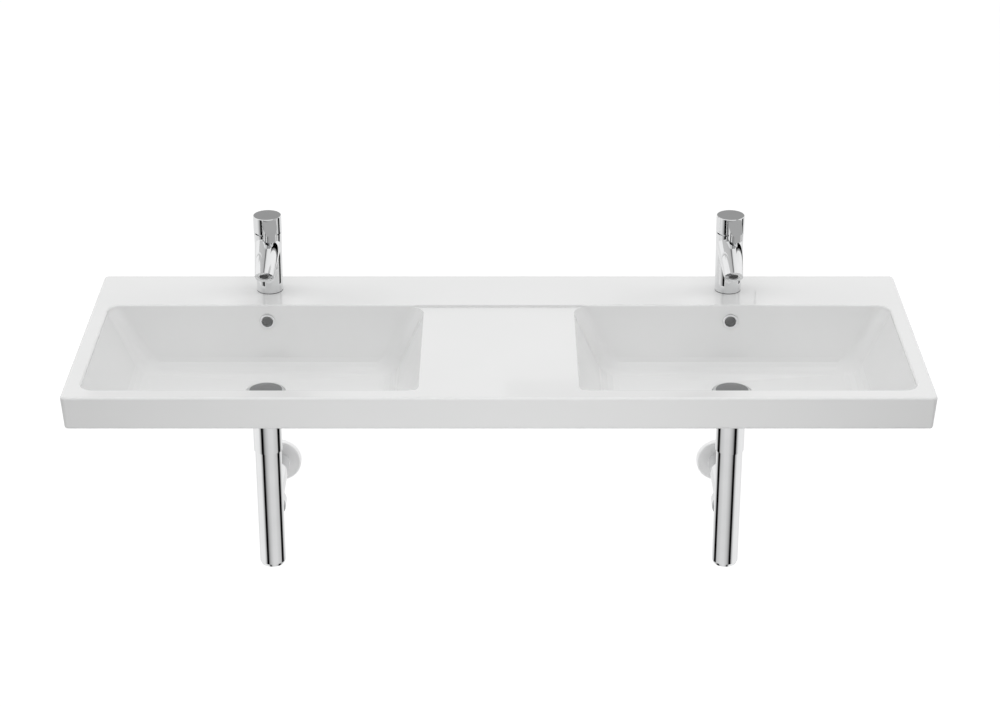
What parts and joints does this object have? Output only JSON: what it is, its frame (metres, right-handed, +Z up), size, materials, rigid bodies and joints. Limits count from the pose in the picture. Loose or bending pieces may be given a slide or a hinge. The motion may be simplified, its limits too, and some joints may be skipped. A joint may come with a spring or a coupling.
{
  "type": "double washbasin",
  "caption": "Wall-hung double washbasin with a shallow shelf between its bowls, a chrome push mixer at each bowl and chrome bottle traps that run into the wall.",
  "frame": {"origin": "on the wall plane, in the middle of the line of fixing holes, 75 mm below the deck", "axes": "+X to the right for a person at the basin, +Y into the wall, +Z up"},
  "size_m": [1.2994, 0.5047, 0.5606],
  "materials": {
    "glaze": "gloss",
    "chrome": "polished",
    "steel": "satin",
    "brass": "satin",
    "rubber": "matte",
    "white_plastic": "satin",
    "dark_plastic": "matte"
  },
  "bodies": {
    "fixed": {"basin": "glaze", "left_tap_body": "chrome", "left_tap_cartridge": "white_plastic", "left_tap_seal": "rubber", "left_aerator_sleeve": "chrome", "left_aerator_insert": "dark_plastic", "left_waste_body": "chrome", "left_waste_nut": "brass", "left_trap_head": "chrome", "left_trap_washer": "rubber", "left_dip_tube": "white_plastic", "left_trap_tube": "chrome", "left_trap_cap": "chrome", "left_outlet_nut": "chrome", "left_outlet_seal": "rubber", "left_outlet_pipe": "chrome", "right_tap_body": "chrome", "right_tap_cartridge": "white_plastic", "right_tap_seal": "rubber", "right_aerator_sleeve": "chrome", "right_aerator_insert": "dark_plastic", "right_waste_body": "chrome", "right_waste_nut": "brass", "right_trap_head": "chrome", "right_trap_washer": "rubber", "right_dip_tube": "white_plastic", "right_trap_tube": "chrome", "right_trap_cap": "chrome", "right_outlet_nut": "chrome", "right_outlet_seal": "rubber", "right_outlet_pipe": "chrome", "upper_waste_seals": "rubber", "lower_waste_seals": "rubber", "overflow_covers": "chrome", "tap_studs": "steel", "clamp_pads": "rubber", "clamp_plates": "steel", "clamp_nuts": "steel"},
    "left_stem": {"left_tap_stem": "steel", "left_tap_spring": "steel"},
    "left_cap": {"left_tap_cap": "chrome"},
    "left_plug": {"left_plug_cap": "chrome", "left_plug_seal": "rubber", "left_plug_barrel": "brass"},
    "left_rosette_plate": {"left_rosette": "chrome"},
    "right_stem": {"right_tap_stem": "steel", "right_tap_spring": "steel"},
    "right_cap": {"right_tap_cap": "chrome"},
    "right_plug": {"right_plug_cap": "chrome", "right_plug_seal": "rubber", "right_plug_barrel": "brass"},
    "right_rosette_plate": {"right_rosette": "chrome"}
  },
  "joints": [
    {"name": "left_temperature_turn", "type": "hinge", "parent": "fixed", "child": "left_stem", "pos_m": [-0.3725, -0.057, 0.2], "axis": [0, 0, 1], "range_deg": [-59, 31]},
    {"name": "left_cap_press", "type": "slide", "parent": "left_stem", "child": "left_cap", "axis": [0, 0, -1], "range_m": [0, 0.002], "stiffness_N_per_m": 800, "springref_m": -0.005, "deforming": ["left_tap_spring"]},
    {"name": "left_plug_lift", "type": "slide", "parent": "fixed", "child": "left_plug", "axis": [0, 0, 1], "range_m": [0, 0.008]},
    {"name": "left_rosette_slide", "type": "slide", "parent": "fixed", "child": "left_rosette_plate", "axis": [0, -1, 0], "range_m": [0, 0.09]},
    {"name": "right_temperature_turn", "type": "hinge", "parent": "fixed", "child": "right_stem", "pos_m": [0.3725, -0.057, 0.2], "axis": [0, 0, 1], "range_deg": [-59, 31]},
    {"name": "right_cap_press", "type": "slide", "parent": "right_stem", "child": "right_cap", "axis": [0, 0, -1], "range_m": [0, 0.002], "stiffness_N_per_m": 800, "springref_m": -0.005, "deforming": ["right_tap_spring"]},
    {"name": "right_plug_lift", "type": "slide", "parent": "fixed", "child": "right_plug", "axis": [0, 0, 1], "range_m": [0, 0.008]},
    {"name": "right_rosette_slide", "type": "slide", "parent": "fixed", "child": "right_rosette_plate", "axis": [0, -1, 0], "range_m": [0, 0.09]}
  ]
}
